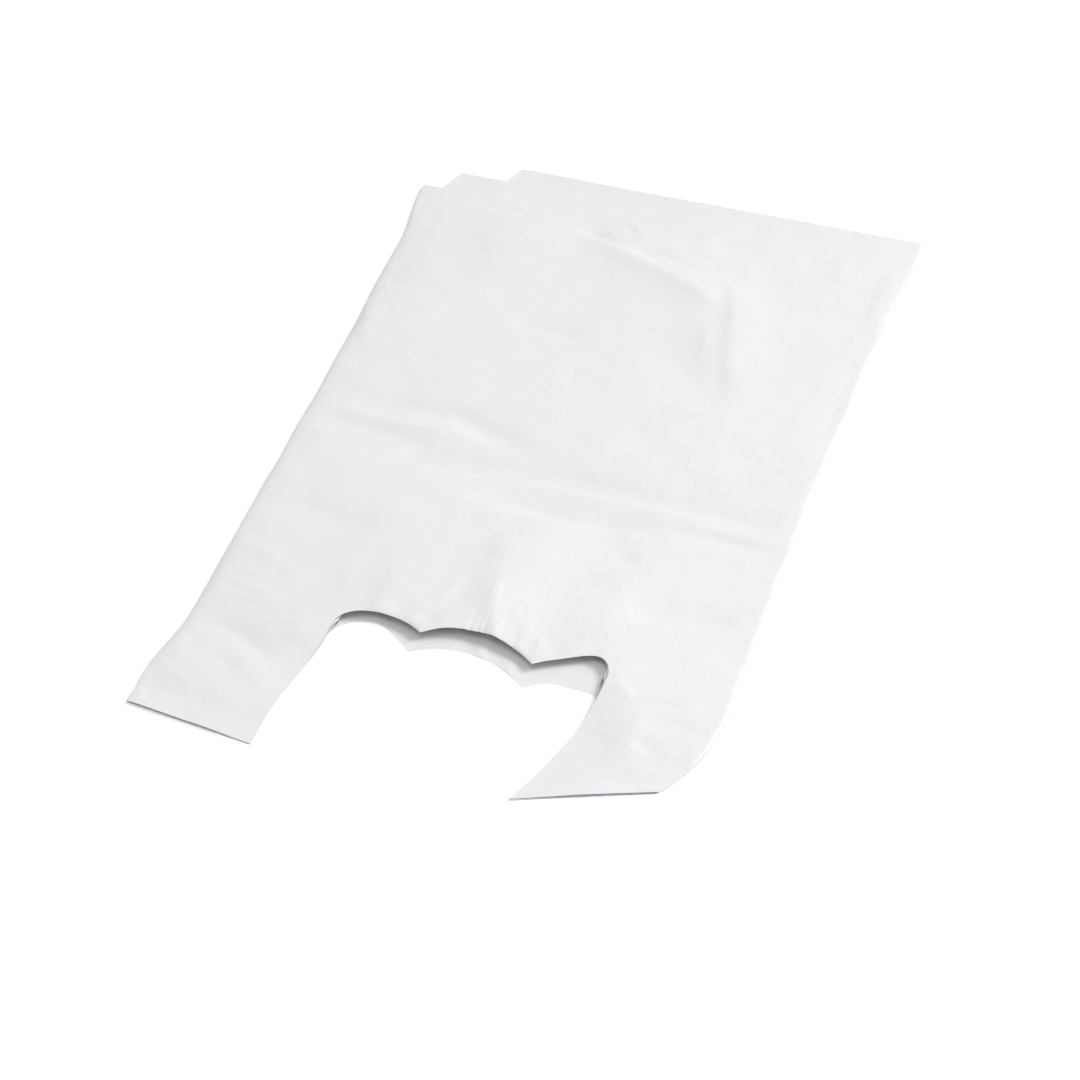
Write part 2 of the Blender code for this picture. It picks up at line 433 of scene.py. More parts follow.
@dataclass(frozen=True)
class Crease:
    """A ridge in the front ply, or a valley where its height is negative.

    Its path lies on the floor plan, and it sinks away over one width on each side: far on the left
    of the path, seen along it, and near on the right. Its height fades in over the taper, a share
    of its length, at both ends, where a blunt remnant stays. The tip is how round a sharp crease is
    on top.
    """

    path: tuple[tuple[float, float], ...]
    far: float
    near: float
    height: float
    profile: Profile = Profile.ROUNDED
    taper: float = 0.45
    blunt: float = 0.1
    tip: float = 0.3

    def height_at(self, x: np.ndarray, y: np.ndarray) -> np.ndarray:
        """Height of the crease over the plan.

        Args:
            x: places across.
            y: places along.

        Returns:
            The height at each place.
        """
        points = rounded(self.path)
        reach = 4 * max(self.far, self.near)
        low, high = points.min(axis=0) - reach, points.max(axis=0) + reach
        inside = (x > low[0]) & (x < high[0]) & (y > low[1]) & (y < high[1])
        px, py = x[inside], y[inside]
        runs = np.linalg.norm(np.diff(points, axis=0), axis=1)
        whole, passed = runs.sum(), 0.0
        best = np.full(px.shape, np.inf)
        side, at = np.zeros_like(best), np.zeros_like(best)
        for (ax, ay), (bx, by), run in zip(points, points[1:], runs):
            dx, dy = (bx - ax) / run, (by - ay) / run
            held = np.clip((px - ax) * dx + (py - ay) * dy, 0, run)
            away = np.hypot(px - ax - held * dx, py - ay - held * dy)
            nearer = away < best
            best = np.where(nearer, away, best)
            side = np.where(nearer, dx * (py - ay) - dy * (px - ax), side)
            at = np.where(nearer, passed + held, at)
            passed += run
        offset = best / np.where(side > 0, self.far, self.near)
        if self.profile is Profile.SHARP:
            section = np.exp(self.tip - np.sqrt(offset**2 + self.tip**2))
        else:
            section = np.exp(-(offset**2))
        fade = ease(np.minimum(at, whole - at) / (self.taper * whole) + self.blunt)
        found = np.zeros(np.shape(x))
        found[inside] = self.height * section * fade
        return found


@dataclass(frozen=True)
class Swell:
    """Soft unevenness of the film, in lumps that are longer across the bag than along it."""

    height: float
    size: float
    squeeze: tuple[float, float]
    layer: float


@dataclass(frozen=True)
class Relief:
    """The lasting creases and soft swells of the front ply, as it was folded and handled."""

    creases: tuple[Crease, ...]
    depth: float = 1.5
    swells: tuple[Swell, ...] = (
        Swell(0.35, 70.0, (1.0, 1.3), 0.0),
        Swell(0.22, 30.0, (1.0, 1.6), 4.0),
        Swell(0.07, 12.0, (0.8, 1.5), 9.0),
    )

    def front(self, x: np.ndarray, y: np.ndarray) -> np.ndarray:
        """Height that the front ply gains over a plain loft.

        Args:
            x: places across.
            y: places along.

        Returns:
            The gain at each place.
        """
        soft = np.zeros(np.shape(x))
        for swell in self.swells:
            across, along = swell.squeeze
            soft = soft + swell.height * grain(x * across, y * along, swell.size, swell.layer)
        return soft + self.depth * sum(crease.height_at(x, y) for crease in self.creases)


SHARP = Profile.SHARP

# A crease is written as its path, its two widths and its height.

# Where the bag was folded in two: cross creases over its middle.
MIDDLE = (
    Crease(((-90, -22), (-64, -22), (-36, -20)), 8, 6, -0.59),
    Crease(
        ((-130, 15), (-100, 17), (-75, 19), (-55, 17), (-38, 9), (-10, 3)),
        7,
        8,
        -0.98,
        taper=0.35,
    ),
    Crease(((-134, 5), (-112, 3.5), (-90, 4), (-62, 3.5), (-38, 3)), 4, 6, 0.68, SHARP, 0.35),
    Crease(((-131, -4), (-112, -5), (-90, -7), (-65, -11), (-50, -13)), 8, 9, -0.98, SHARP),
    Crease(((-141, -17), (-128, -16.5), (-118, -18)), 4, 2.5, 0.35),
    Crease(((-97, -20), (-86, -21), (-72, -22)), 5, 2.5, 0.29),
    Crease(
        ((-84, -25), (-45, -22), (-12, -18), (10, -17.5), (50, -18.5), (92, -18.5), (130, -21)),
        7,
        2.4,
        -1.8,
        SHARP,
        taper=0.3,
    ),
    Crease(((-2, -13), (22, -13), (56, -14)), 6, 6, -0.29),
    Crease(((-45, -38), (-20, -39), (10, -42), (40, -43), (62, -40), (85, -37)), 13, 6, -1.46),
    Crease(((-8, -38.5), (10, -38), (25, -38.5), (42, -40)), 3, 2.2, 0.43, SHARP),
    Crease(((68, -30), (90, -31), (110, -32), (127, -32.5)), 3, 2.6, 0.55, SHARP),
    Crease(((80, -38), (100, -37), (118, -37.5), (134, -39)), 4, 5, -0.68),
    Crease(((-135, -76), (-100, -80), (-60, -83)), 8, 14, -0.68),
    Crease(((60, -104), (78, -107), (100, -101), (130, -96)), 12, 6, -0.98),
    Crease(((50, -66), (66, -67)), 5, 6, -0.49),
)

# The half at the bottom, with the crease that runs down from the corner that crept.
BOTTOM_HALF = (
    Crease(
        ((-40, 190), (-22, 184), (-5, 178), (10, 171.5), (30, 161), (58, 147)),
        16,
        9,
        1.9,
        SHARP,
        taper=0.25,
    ),
    Crease(((-62, 203), (-45, 197), (-25, 190), (-5, 183.5), (12, 176), (26, 170)), 3.2, 4, -0.7),
    Crease(((-28, 195), (-5, 188.5), (14, 182), (30, 173)), 3.5, 2, -0.8, SHARP),
    Crease(((-58, 206.5), (-44, 204.5), (-28, 200.5)), 3, 2.5, -0.68),
    Crease(((-52, 213), (-35, 209), (-15, 203), (0, 197)), 3, 4, -0.7, SHARP),
    Crease(((-4, 194), (-15, 203), (-21, 213)), 2.5, 3, 0.35),
    Crease(
        ((79, 66), (73, 84), (67.5, 102), (63, 118), (59.5, 136), (56.5, 152), (52, 168), (46, 180)),
        5.5,
        15,
        0.9,
        taper=0.3,
    ),
    Crease(((64, 84), (56, 104), (49, 124), (40, 144)), 9, 13, 0.85),
    Crease(((26, 209), (34, 206), (45, 203)), 5, 5, -0.3),
    Crease(((103, 188), (102, 205), (100, 222)), 3.5, 5, 0.3),
    Crease(((130, 146), (131, 170), (131, 200), (131.5, 228)), 4.5, 6, 0.45),
    Crease(((137, 2), (133.5, 25), (131.5, 60), (131.5, 140)), 4, 4, -0.25),
    Crease(((-120, 214.5), (-106, 213.5), (-92, 210)), 2.5, 2.5, -0.3),
    Crease(((-117, 208), (-103, 202), (-88, 199), (-70, 199)), 5, 3, -0.52),
    Crease(((-112, 178.5), (-88, 177.5), (-64, 173)), 6, 3, -0.18),
    Crease(((-96, 226), (-60, 229), (-20, 229), (28, 226)), 7, 16, -1.1),
    Crease(((-95, 216), (-75, 211), (-52, 206)), 10, 8, -0.6),
    Crease(((-58, 101), (-36, 102), (-10, 101)), 9, 3, -0.75, SHARP),
    Crease(((-80, 119), (-62, 109), (-55, 101.5)), 2, 4, 0.12),
    Crease(((-140, 77), (-133, 82), (-130, 92)), 5, 6, 0.5, SHARP),
    Crease(((-139, 76), (-132, 71), (-122, 66)), 4, 5, 0.3),
    Crease(((-84, 133), (-70, 139.5), (-54, 143)), 3, 3, 0.12),
    Crease(((-104, 145), (-84, 168), (-70, 188), (-60, 212)), 30, 24, 0.8, taper=0.5),
    Crease(((-112, 10), (-114, 60), (-116, 110), (-118, 160), (-120, 200)), 13, 24, 0.22),
)

# Round the mouth, where the raised lip pulls the film.
MOUTH = (
    Crease(
        ((7, -144), (5, -128), (3, -112), (1.5, -96), (2.5, -82), (0, -70), (-9, -58)),
        12,
        34,
        1.5,
        taper=0.35,
    ),
    Crease(((9, -144), (7, -128), (4.5, -112), (3, -98)), 5, 2.4, 0.48),
    Crease(((-34, -146), (-27, -139), (-20, -127), (-16, -112), (-12, -98)), 6, 1.8, 0.36, SHARP),
    Crease(((-31, -143), (-24, -142), (-14, -143.5)), 3, 4, -0.60, SHARP),
    Crease(((-42, -148), (-44, -125), (-50, -90)), 11, 16, 0.60, taper=0.5),
    Crease(((38, -156), (37, -146), (35.5, -134)), 4, 2, 0.36, SHARP),
    Crease(((40, -146), (50, -142)), 3, 5, -0.36),
    Crease(((81, -176), (82, -158), (80, -142), (74, -126)), 5, 10, 0.36, taper=0.5),
)

LEFT_HANDLE = (
    Crease(((-92, -172), (-80, -174), (-68, -178)), 7, 3, 0.36),
    Crease(((-140, -111.5), (-125, -114), (-108, -118)), 3, 7, 0.47, SHARP),
    Crease(((-132, -129), (-115, -134)), 3, 2, 0.18),
    Crease(((-131, -141), (-115, -145.5), (-98, -149)), 3, 4, 0.39),
    Crease(((-137, -150.5), (-118, -153), (-104, -155)), 2.5, 2, 0.23),
    Crease(((-135, -171), (-118, -177), (-100, -184.5), (-85, -193.5), (-74, -203)), 7, 6, -0.86),
    Crease(((-128, -196), (-110, -201), (-92, -213), (-80, -222)), 6, 8, -0.54),
    Crease(((-147, -190.5), (-140, -190), (-133, -194)), 3, 7, 0.36),
    Crease(((-136, -209), (-133.5, -200), (-132, -193)), 6, 3, 0.33),
    Crease(((-146, -203), (-141, -211), (-128, -218), (-112, -224)), 3, 3, 0.47, SHARP),
    Crease(((-142, -241), (-143, -231), (-146, -222)), 2.5, 2, 0.47),
    Crease(((-140, -230.5), (-128, -233), (-113, -238)), 2, 1.5, 0.31),
)

RIGHT_HANDLE = (
    Crease(((79, -160), (86, -163.5), (95, -168)), 4, 3, 0.40),
    Crease(((79, -167.5), (92, -168.5), (106, -167), (124, -164)), 3, 2.5, -0.48, SHARP),
    Crease(((98, -183), (115, -179.5), (128, -174.5)), 6, 4, -0.55),
    Crease(((68, -197), (80, -197.5), (94, -199)), 3, 5, -0.53),
    Crease(((72, -199), (80, -199.5), (86, -198.5)), 1.5, 1.5, 0.23),
    Crease(((98, -193), (108, -196.5), (118, -201)), 5, 3.5, -0.55),
    Crease(((106, -207), (120, -204), (132, -198)), 5, 8, -0.32),
)

CREASES = MIDDLE + BOTTOM_HALF + MOUTH + LEFT_HANDLE + RIGHT_HANDLE


@dataclass(frozen=True)
class Stack:
    """Heights of the plies over the floor."""

    blank: Blank
    relief: Relief
    # Air in a side fold, and in the pocket between the two webs of a pleat.
    fold_air: float = 0.38
    pocket_air: float = 0.44
    # Air under the front ply: over the body, in the handles and under the raised lip.
    body_loft: float = 2.2
    handle_loft: float = 1.7
    lip_loft: float = 6.5
    lip_reach: float = 135.0
    lip_spread: float = 150.0
    lip_start: float = 6.0
    root_blend: float = 60.0
    # The lip sags at its right cusp and swells beyond it: where, how wide and by what share.
    lip_sag: tuple[float, float, float] = (32.0, 16.0, 0.3)
    lip_swell: tuple[float, float, float] = (62.0, 20.0, 0.12)
    # The plies close up at the welds, at the side folds and along the handles' cuts. Creases keep
    # a share of their height at a weld.
    pressed: float = 0.12
    weld_slack: float = 0.5
    weld_ease: float = 26.0
    bottom_ease: float = 65.0
    weld_relief: float = 0.6
    firmness: float = 3.0
    skirt_sink: float = 0.1
    edge_turn: tuple[float, float] = (2.4, 0.9)
    edge_dip: float = 0.6
    cut_reach: float = 34.0
    cut_ease: float = 40.0
    cut_margin: float = 1.0
    pleat_rise: float = 0.25
    pleat_spread: float = 28.0
    # How far the back ply stands off the floor.
    stand: float = 0.7
    stand_reach: float = 42.0
    stand_start: float = 6.0
    cut_hold: float = 0.5
    skirt_rise: float = 0.5
    flute_share: float = 0.22
    flute_wave: tuple[float, float, float] = (5.6, 0.9, 13.0)
    bottom_stand: float = 1.5
    bottom_curl: float = 0.3
    # Along the front lip: its ripple, the fine gathers near its middle and the curl at the cut.
    # Each has its height and fades away from the cut.
    lip_ease: float = 14.0
    ripple: float = 0.35
    ripple_wave: tuple[float, float, float] = (5.1, 0.8, 17.0)
    ripple_fade: float = 14.0
    gather: float = 0.16
    gather_wave: tuple[float, float, float] = (0.62, 1.2, 3.7)
    gather_place: tuple[float, float] = (-5.0, 12.0)
    gather_fade: float = 8.0
    curl: float = 0.7
    curl_fade: float = 1.2
    # Along the back ply's edge: crimps that come and go.
    crimp_ease: float = 18.0
    crimp: float = 1.1
    crimp_wave: tuple[float, float, float] = (3.4, 2.1, 23.0)
    crimp_start: float = 3.0
    crimp_fade: float = 15.0

    def loft(self, u: np.ndarray, v: np.ndarray) -> np.ndarray:
        """Air between the back and front plies, before the creases.

        Args:
            u: places across the blank.
            v: places along the blank.

        Returns:
            The air at each point.
        """
        blank = self.blank
        near_mouth = 1 - ease((v - blank.root - self.lip_start) / self.lip_reach)
        middle = np.maximum(1 - (u / self.lip_spread) ** 2, 0.0) ** 2
        at, width, share = self.lip_sag
        middle = middle * (1 - share * bell(u, at, width))
        at, width, share = self.lip_swell
        middle = middle * (1 + share * bell(u, at, width))
        body = self.body_loft + (self.lip_loft - self.body_loft) * near_mouth * middle
        root_body = self.body_loft + (self.lip_loft - self.body_loft) * middle
        near_root = 1 - ease((blank.root - v) / self.root_blend)
        handle = self.handle_loft + (root_body - self.handle_loft) * near_root
        return np.where(v < blank.root, handle, body)

    def air(self, x: np.ndarray, y: np.ndarray, u: np.ndarray, v: np.ndarray) -> np.ndarray:
        """All the air in the stack, creases included.

        Args:
            x: places across the plan.
            y: places along the plan.
            u: places across the blank.
            v: places along the blank.

        Returns:
            The air at each point, in millimetres.
        """
        blank = self.blank
        sides = 2 * self.fold_air + self.pocket_air
        relief = self.relief.front(x, y)
        full = self.loft(u, v)
        reach = np.where(v < 0, self.weld_ease, self.bottom_ease)
        loose = ease((blank.from_weld(v) + self.weld_slack) / reach)
        full = self.pressed + (full - self.pressed) * loose
        full = full + relief * (self.weld_relief + (1 - self.weld_relief) * loose)
        # The plies may touch but never cross: a deep crease flattens out where they meet.
        full = np.logaddexp(0.0, (full - self.pressed) * self.firmness) / self.firmness
        full = self.pressed + full - self.skirt_sink * (1 - loose)
        turn = 1 - np.exp(-(blank.outer - np.abs(u)) / np.where(u < 0, *self.edge_turn))
        edge = self.pressed + (sides - self.pressed) * loose
        full = edge + np.maximum(full - edge, -self.edge_dip * edge) * turn
        return self.pressed + (full - self.pressed) * (1 - self.at_cut(u, v))

    def at_cut(self, u: np.ndarray, v: np.ndarray) -> np.ndarray:
        """How near a point is to a handle's inner edge, where the die has pressed the plies.

        Args:
            u: places across the blank.
            v: places along the blank.

        Returns:
            1 at the edge, and 0 out of its reach.
        """
        blank = self.blank
        in_handle = ease((blank.root - v) / self.cut_ease)
        from_cut = np.abs(u) - blank.mouth + self.cut_margin
        return in_handle * (1 - ease(from_cut / self.cut_reach))

    def under(self, u: np.ndarray, v: np.ndarray) -> np.ndarray:
        """How far the back ply stands off the floor: towards the welds, and at its crimps.

        Args:
            u: places across the blank.
            v: places along the blank.

        Returns:
            The height at each point.
        """
        blank = self.blank
        before = np.maximum(v - blank.handle_weld, 0.0)
        past = np.maximum(blank.handle_weld - v, 0.0)
        skirt = self.skirt_rise * (1 + self.flute_share * waves(u, *self.flute_wave))
        rise = np.where(past > 0, skirt, self.stand)
        rise = rise * (1 - np.exp(-np.maximum(before, past) / self.stand_start))
        stand = rise * (1 - ease(before / self.stand_reach))
        stand = stand * (1 - self.cut_hold * self.at_cut(u, v))
        before = np.maximum(blank.bottom_weld - v, 0.0)
        past = np.maximum(v - blank.bottom_weld, 0.0)
        bottom = self.bottom_stand * (1 - ease(before / self.bottom_ease))
        bottom = bottom + self.bottom_curl * ease(past / blank.bottom_skirt)
        return stand + bottom + self.back_crimp(u, v)

    def heights(
        self, plies: np.ndarray, x: np.ndarray, y: np.ndarray, u: np.ndarray, v: np.ndarray
    ) -> np.ndarray:
        """Heights of the whole tube.

        Args:
            plies: the ply of each station.
            x: places across the plan, by station and row.
            y: places along the plan.
            u: places across the blank.
            v: places along the blank.

        Returns:
            The height of each point.
        """
        total = self.air(x, y, u, v)
        side = total * self.fold_air / (2 * self.fold_air + self.pocket_air)
        inward = (self.blank.pleat - np.abs(u)) / self.pleat_spread
        over_pleat = self.pleat_rise * ease(1 - inward)
        front = total + over_pleat + self.lip_edge(u, v)
        above = np.select(
            [plies == Ply.BACK, plies == Ply.LOWER_WEB, plies == Ply.UPPER_WEB],
            [np.zeros_like(total), side, total - side],
            front,
        )
        return self.under(u, v) + above

    def lip_edge(self, u: np.ndarray, v: np.ndarray) -> np.ndarray:
        """The front lip's gathers, and the small curl that the die leaves along the cut.

        Args:
            u: places across the blank.
            v: places along the blank.

        Returns:
            The height at each point.
        """
        blank = self.blank
        inside = np.maximum(v - blank.mouth_line(u), 0.0)
        open_edge = (v >= blank.root) * ease((blank.mouth - np.abs(u)) / self.lip_ease)
        ripple = self.ripple * waves(u, *self.ripple_wave) * np.exp(-inside / self.ripple_fade)
        gathers = self.gather * bell(u, *self.gather_place) * waves(u, *self.gather_wave)
        gathers = gathers * np.exp(-inside / self.gather_fade)
        return open_edge * (ripple + gathers - self.curl * np.exp(-inside / self.curl_fade))

    def back_crimp(self, u: np.ndarray, v: np.ndarray) -> np.ndarray:
        """The crimps that show where the back ply reaches out under the lip.

        Args:
            u: places across the blank.
            v: places along the blank.

        Returns:
            The height at each point.
        """
        blank = self.blank
        inside = np.maximum(v - blank.mouth_line(u), 0.0)
        open_edge = (v >= blank.root) * ease((blank.mouth - np.abs(u)) / self.crimp_ease)
        crimps = waves(u, *self.crimp_wave) * (0.5 + 0.5 * np.sin(u / 11 + 0.7))
        # They rise from the ply and hardly sink into it, and are lowest right at the cut.
        crimps = self.crimp * (np.maximum(crimps, -0.1) + 0.1)
        crimps = crimps * (1 - 0.8 * np.exp(-inside / self.crimp_start))
        return open_edge * crimps * np.exp(-inside / self.crimp_fade)


def linear(code: str) -> tuple[float, float, float, float]:
    """Turns an sRGB hex colour to linear.

    Args:
        code: a colour such as "#E4E5E7".

    Returns:
        Red, green, blue and an alpha of 1.
    """
    parts = [int(code[n : n + 2], 16) / 255 for n in (1, 3, 5)]
    red, green, blue = (p / 12.92 if p <= 0.04045 else ((p + 0.055) / 1.055) ** 2.4 for p in parts)
    return red, green, blue, 1.0


def add_node(
    tree: bpy.types.NodeTree,
    kind: str,
    settings: dict[str | int, object],
    links: dict[str | int, bpy.types.NodeSocket] | None = None,
) -> bpy.types.Node:
    """Adds a node with its settings and links.

    Args:
        tree: the material's or the world's nodes.
        kind: Blender's name for the node.
        settings: values of its sockets, or of its own properties.
        links: sockets of other nodes, by the name of the input that takes them.

    Returns:
        The node.
    """
    node = tree.nodes.new(kind)
    own = {name: value for name, value in settings.items() if str(name).islower()}
    for name, value in own.items():
        setattr(node, name, value)
    for name in settings.keys() - own.keys():
        socket(node, name).default_value = settings[name]
    for name, source in (links or {}).items():
        tree.links.new(source, socket(node, name))
    return node


def socket(node: bpy.types.Node, name: str | int) -> bpy.types.NodeSocket:
    """Finds an input that is in use, since a node may have one of that name for each kind of data.

    Args:
        node: the node.
        name: the input's name, or its number where several share one.

    Returns:
        The input.
    """
    if isinstance(name, int):
        return node.inputs[name]
    return next(s for s in node.inputs if s.name == name and s.enabled)


def background_rays(tree: bpy.types.NodeTree) -> bpy.types.NodeSocket:
    """Tells the rays that look at the background: straight, in gloss and through glass.

    Args:
        tree: the material's or the world's nodes.

    Returns:
        A socket that is 1 for those rays, and 0 for the rest.
    """
    rays = add_node(tree, "ShaderNodeLightPath", {}).outputs
    bent = add_node(
        tree,
        "ShaderNodeMath",
        {"operation": "MAXIMUM"},
        {0: rays["Is Glossy Ray"], 1: rays["Is Transmission Ray"]},
    )
    seen = add_node(
        tree,
        "ShaderNodeMath",
        {"operation": "MAXIMUM"},
        {0: rays["Is Camera Ray"], 1: bent.outputs["Value"]},
    )
    return seen.outputs["Value"]


@dataclass(frozen=True)
class Polythene:
    """High-density polythene film, pigmented white and blown as a tube.

    To the eye it is a satin, almost opaque white, faintly cool. The blowing leaves fine lines
    along the tube, and handling leaves a crisp crackle of small facets.
    """

    white: str = "#E8E8EA"
    shade: str = "#E4E4E7"
    roughness: tuple[float, float] = (0.35, 0.46)
    ior: float = 1.54
    # Real die lines lie about 0.5 mm apart, and are drawn coarser so that they show at all.
    line_spacing: float = 3.2
    line_length: float = 90.0
    line_slant: float = 9.0
    line_depth: float = 0.1
    # The crackle of handled film has facets of 5 to 20 mm, and is drawn at real size.
    crinkle: float = 8.0
    crinkle_depth: float = 0.16
    facet: float = 17.0
    facet_depth: float = 0.40
    # Slow changes of the film's thickness, which show as a faint cloudiness.
    cloud: float = 45.0

    def material(self) -> bpy.types.Material:
        """Builds the film's material.

        Returns:
            The material, with its pattern laid out in millimetres of flat film.
        """
        made = bpy.data.materials.new("blown_polythene_film")
        made.use_nodes = True
        tree = made.node_tree
        shader = tree.nodes["Principled BSDF"]
        shader.inputs["IOR"].default_value = self.ior
        flat = add_node(tree, "ShaderNodeUVMap", {"uv_map": "flat_film"}).outputs["UV"]
        lines_at = add_node(
            tree,
            "ShaderNodeMapping",
            {
                "Scale": (1 / self.line_spacing, 1 / self.line_length, 1.0),
                "Rotation": (0.0, 0.0, math.radians(self.line_slant)),
            },
            {"Vector": flat},
        )
        lines = add_node(
            tree,
            "ShaderNodeTexNoise",
            {"Scale": 1.0, "Detail": 2.0},
            {"Vector": lines_at.outputs["Vector"]},
        )
        crinkle = add_node(
            tree,
            "ShaderNodeTexNoise",
            {"Scale": 1 / self.crinkle, "Detail": 4.0, "Roughness": 0.55, "Distortion": 0.6},
            {"Vector": flat},
        )
        facets = add_node(
            tree,
            "ShaderNodeTexVoronoi",
            {"feature": "SMOOTH_F1", "Scale": 1 / self.facet, "Smoothness": 0.4},
            {"Vector": flat},
        )
        cloud = add_node(
            tree, "ShaderNodeTexNoise", {"Scale": 1 / self.cloud, "Detail": 3.0}, {"Vector": flat}
        )
        tone = add_node(
            tree,
            "ShaderNodeMix",
            {"data_type": "RGBA", "A": linear(self.shade), "B": linear(self.white)},
            {"Factor": cloud.outputs["Fac"]},
        )
        dull = add_node(
            tree,
            "ShaderNodeMapRange",
            {"To Min": self.roughness[0], "To Max": self.roughness[1]},
            {"Value": cloud.outputs["Fac"]},
        )
        # Each relief lies over the one before it.
        below = {}
        for height, depth in (
            (lines.outputs["Fac"], self.line_depth),
            (crinkle.outputs["Fac"], self.crinkle_depth),
            (facets.outputs["Distance"], self.facet_depth),
        ):
            relief = {"Strength": 1.0, "Distance": depth * MM}
            bump = add_node(tree, "ShaderNodeBump", relief, {"Height": height, **below})
            below = {"Normal": bump.outputs["Normal"]}
        tree.links.new(tone.outputs["Result"], shader.inputs["Base Color"])
        tree.links.new(dull.outputs["Result"], shader.inputs["Roughness"])
        tree.links.new(below["Normal"], shader.inputs["Normal"])
        return made


@dataclass
class CarrierBag:
    """The whole bag: one tube of film, folded, cut and welded."""

    blank: Blank = field(default_factory=Blank)
    finish: Polythene = field(default_factory=Polythene)
    # Longest steps across: the front ply, its gathers, the back ply and the hidden webs.
    front_pitch: float = 1.6
    gather_pitch: float = 0.9
    back_pitch: float = 2.9
    hidden_pitch: float = 7.0
    # Longest steps along: everywhere but in the short skirts past the welds, and there.
    row_pitch: float = 1.8
    skirt_pitch: float = 1.6
    # How far from the middle the gathers' close steps go.
    gather_reach: float = 20.0
    # Steps that close up towards a corner of the mouth, a side fold and the cut.
    corner_shares: tuple[float, ...] = (0.25, 0.45, 0.62, 0.76, 0.87, 0.95)
    fold_steps: tuple[float, ...] = (4.0, 2.6, 1.5, 0.7, 0.2, 0.0)
    lip_steps: tuple[float, ...] = (0.5, 1.0, 1.7, 2.6, 3.8)

    def __post_init__(self) -> None:
        """Lays out the parts that share the blank's sizes."""
        self.lie = Lie(self.blank)
        self.stack = Stack(self.blank, Relief(CREASES))

    def half_ply(self, pitch: float, inner: float) -> list[float]:
        """Places across one half of a ply, from its middle to the side fold.

        Args:
            pitch: longest step.
            inner: longest step over the middle scallop.

        Returns:
            The places, with the cusp, the mouth's corner and the fold among them.
        """
        blank = self.blank
        end = blank.mouth - blank.corner_radius
        middle = stations([0.0, self.gather_reach], inner)
        middle += stations([self.gather_reach, blank.cusp_spacing / 2, end], pitch)[1:]
        curve = [end + blank.corner_radius * share for share in self.corner_shares]
        turn = [blank.outer - step for step in self.fold_steps]
        return middle + curve + stations([blank.mouth, turn[0]], pitch) + turn[1:]

    def round_tube(self) -> list[tuple[float, Ply]]:
        """Stations round the tube, from the back ply's left fold and back to it.

        Returns:
            The place across and the ply of each station.
        """
        blank = self.blank
        coarse = self.half_ply(self.hidden_pitch, self.hidden_pitch)
        lower = self.half_ply(self.back_pitch, self.back_pitch)
        fine = self.half_ply(self.front_pitch, self.gather_pitch)
        web = [blank.pleat] + [u for u in coarse if u >= blank.mouth]
        tube = [(-u, Ply.BACK) for u in reversed(lower[1:])] + [(u, Ply.BACK) for u in lower]
        tube += [(u, Ply.LOWER_WEB) for u in reversed(web)] + [(u, Ply.UPPER_WEB) for u in web]
        tube += [(u, Ply.FRONT) for u in reversed(fine)] + [(-u, Ply.FRONT) for u in fine[1:]]
        tube += [(-u, Ply.UPPER_WEB) for u in reversed(web)]
        return tube + [(-u, Ply.LOWER_WEB) for u in web]

    def along_tube(self) -> tuple[list[float], int]:
        """Rows along the tube, closer at the welds and at the cut.

        Returns:
            The rows, and the index of the row at the root of the handles.
        """
        blank = self.blank
        weld = blank.weld_width / 2
        skirt = stations([blank.handle_end, blank.handle_weld - weld], self.skirt_pitch)
        handle = stations([blank.handle_weld + weld, blank.root], self.row_pitch)
        lip = [blank.root + step for step in self.lip_steps]
        body = stations([lip[-1], blank.bottom_weld - weld], self.row_pitch)
        close = stations([blank.bottom_weld + weld, blank.bottom], self.skirt_pitch)
        root = len(skirt) + len(handle) - 1
        return skirt + handle + lip[:-1] + body + close, root

    def lay(self, tube: list[tuple[float, Ply]], rows: list[float]) -> np.ndarray:
        """Lays the tube where it has come to rest.

        Args:
            tube: the stations round the tube.
            rows: the rows along it.

        Returns:
            Points in the model's frame, in millimetres, station by station.
        """
        u, v = np.meshgrid([place for place, _ in tube], rows, indexing="ij")
        v = self.blank.on_film(u, v)
        plies = np.repeat([[ply] for _, ply in tube], len(rows), axis=1)
        x, y = self.lie.place(u, v, plies / Ply.FRONT)
        z = self.stack.heights(plies, x, y, u, v)
        x, y = x + self.lie.middle[0], y + self.lie.middle[1]
        return np.stack([x, y, z], axis=2).reshape(-1, 3)

    def film_mesh(self) -> bpy.types.Mesh:
        """Meshes the tube, without the film that the die cut out.

        Returns:
            The mesh, with the flat film as its map.
        """
        tube = self.round_tube()
        rows, root = self.along_tube()
        count, length = len(tube), len(rows)
        quads = []
        for i in range(count):
            beside = (i + 1) % count
            in_handle = min(abs(tube[i][0]), abs(tube[beside][0])) >= self.blank.mouth
            for j in range(0 if in_handle else root, length - 1):
                a, b = i * length + j, beside * length + j
                quads.append((a, a + 1, b + 1, b))
        corners = np.array(quads)
        used, compact = np.unique(corners, return_inverse=True)
        mesh = bpy.data.meshes.new("carrier_bag_film")
        points = self.lay(tube, rows)[used] * MM
        mesh.from_pydata(points.tolist(), [], compact.reshape(corners.shape).tolist())
        around = np.cumsum([0.0] + [abs(b[0] - a[0]) for a, b in zip(tube, tube[1:])])
        spot = corners.ravel()
        flat = np.stack([around[spot // length], np.array(rows)[spot % length]], axis=1)
        layer = mesh.uv_layers.new(name="flat_film")
        layer.data.foreach_set("uv", flat.astype(np.float32).ravel())
        mesh.shade_smooth()
        return mesh

    def film_area(self) -> float:
        """Area of the film, without the mouth and the handles' pleat folds that the die cut out.

        Returns:
            The area, in square metres.
        """
        blank = self.blank
        u = np.linspace(-blank.mouth, blank.mouth, 2001)
        cut = float(np.mean(blank.mouth_line(u) - blank.handle_end)) * blank.mouth_width
        folds = 4 * (blank.mouth - blank.pleat) * (blank.root - blank.handle_end)
        return (blank.around * blank.length - 2 * cut - folds) * MM**2

